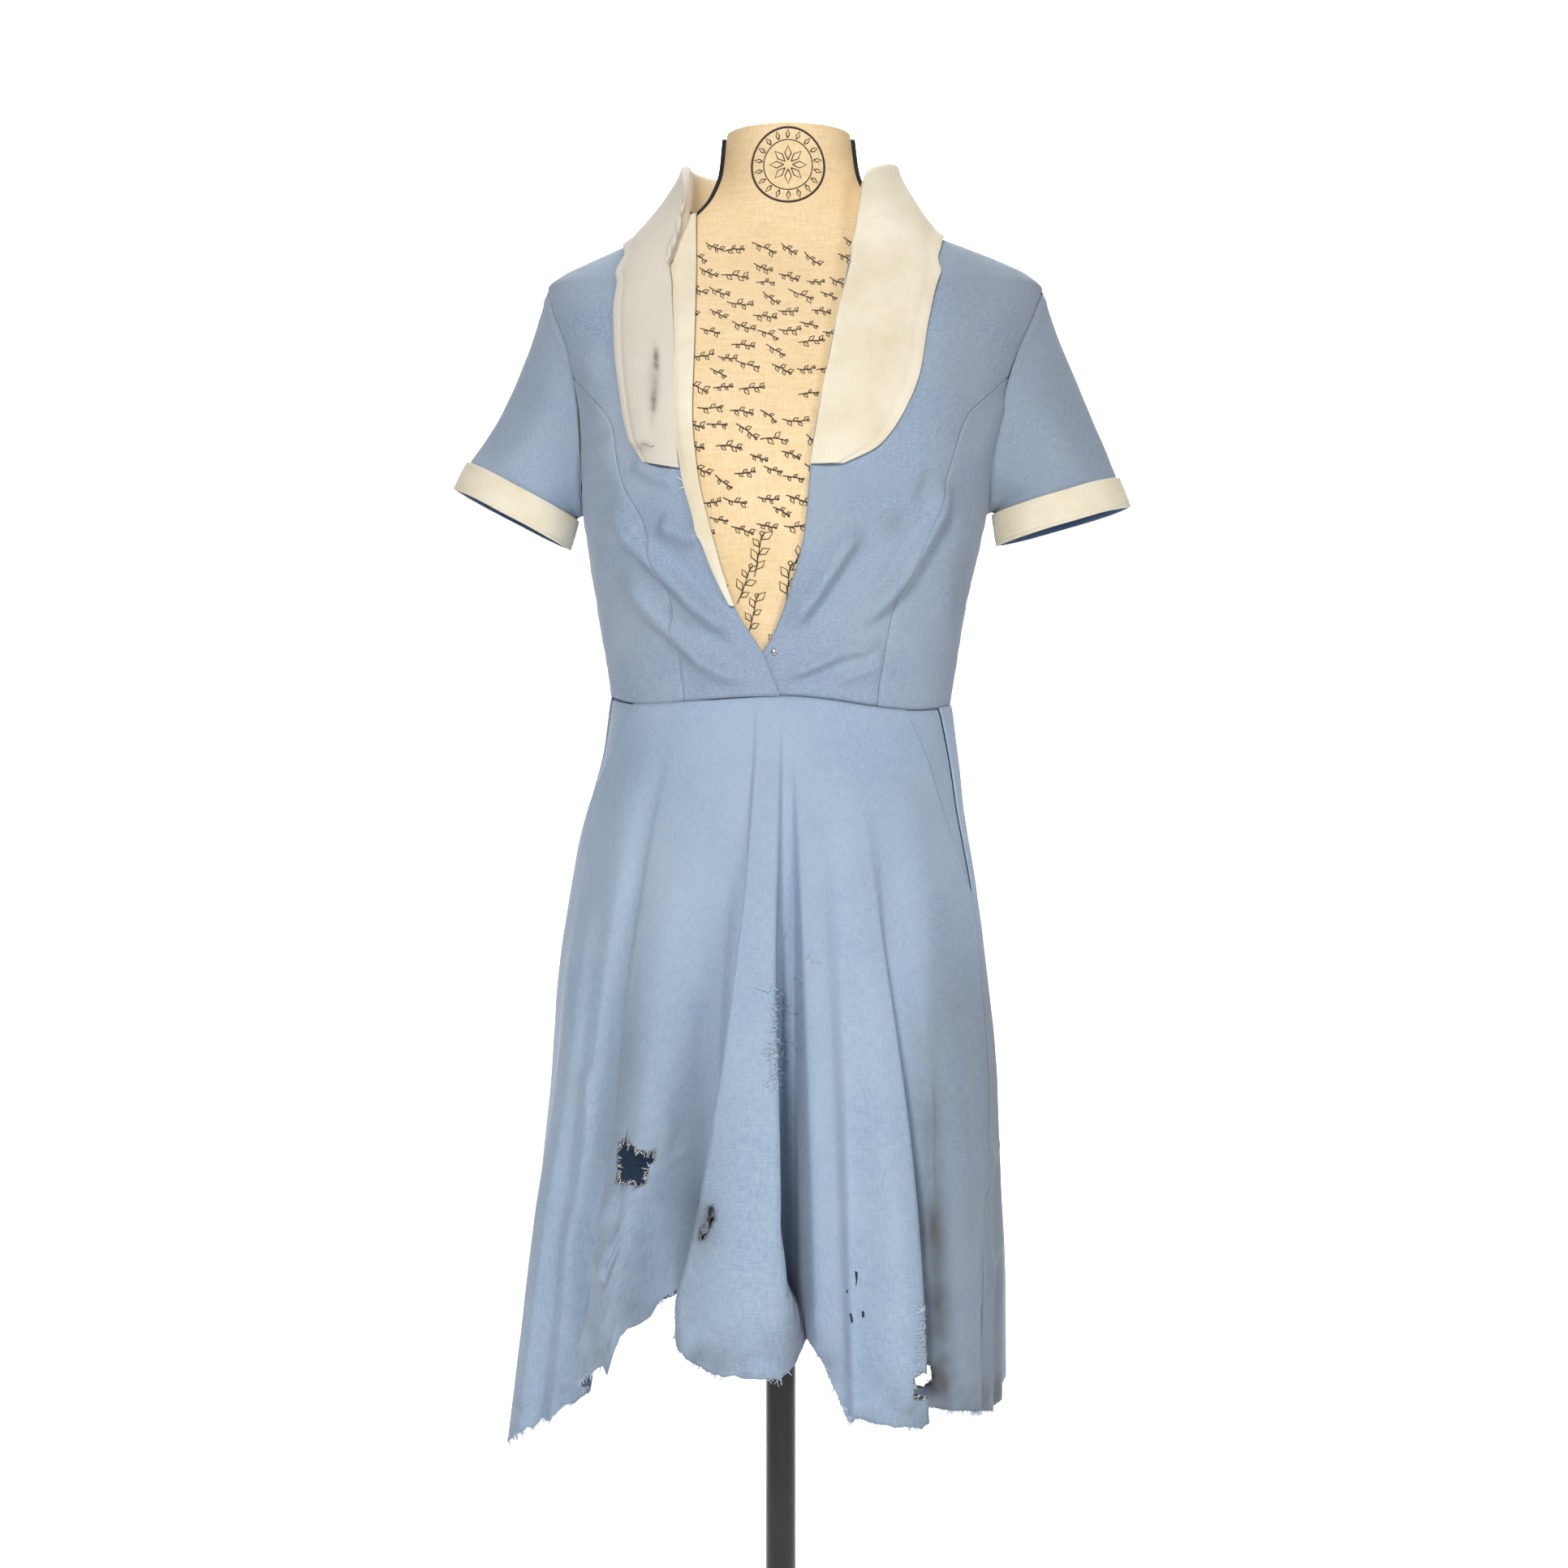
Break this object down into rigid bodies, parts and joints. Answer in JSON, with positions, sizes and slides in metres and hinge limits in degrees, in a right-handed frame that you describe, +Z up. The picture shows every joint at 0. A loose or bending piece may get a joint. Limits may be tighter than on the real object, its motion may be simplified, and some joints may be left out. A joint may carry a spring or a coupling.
{
  "type": "waitress uniform dress on a limbless dress form",
  "caption": "Light blue waitress dress with a wide pale collar, turned-up cuffs and a torn, uneven hem, worn by a limbless cream dress form on a round stand.",
  "frame": {"origin": "centre of the round stand's underside, on the floor", "axes": "+Z up the pole, -Y the way the front of the dress faces, +X to the wearer's left"},
  "size_m": [0.566, 0.4157, 1.475],
  "materials": {
    "dress_cloth": "worn light blue cotton and polyester twill",
    "trim_cloth": "off-white cotton, aged",
    "form_cover": "cream cotton cover with a plain ink sprig print",
    "stand_metal": "satin black paint"
  },
  "bodies": {
    "root": {"bodice_front_right": "dress_cloth", "bodice_front_left": "dress_cloth", "bodice_side_right": "dress_cloth", "bodice_side_left": "dress_cloth", "bodice_back": "dress_cloth", "front_facing_right": "trim_cloth", "collar": "trim_cloth", "sleeve_right": "dress_cloth", "sleeve_left": "dress_cloth", "cuff_right": "trim_cloth", "cuff_left": "trim_cloth", "skirt_front": "dress_cloth", "skirt_back": "dress_cloth", "pocket_panel_right": "dress_cloth", "pocket_panel_left": "dress_cloth", "form_body": "form_cover", "form_flange": "stand_metal", "stand_pole": "stand_metal", "stand_base": "stand_metal"}
  },
  "joints": []
}
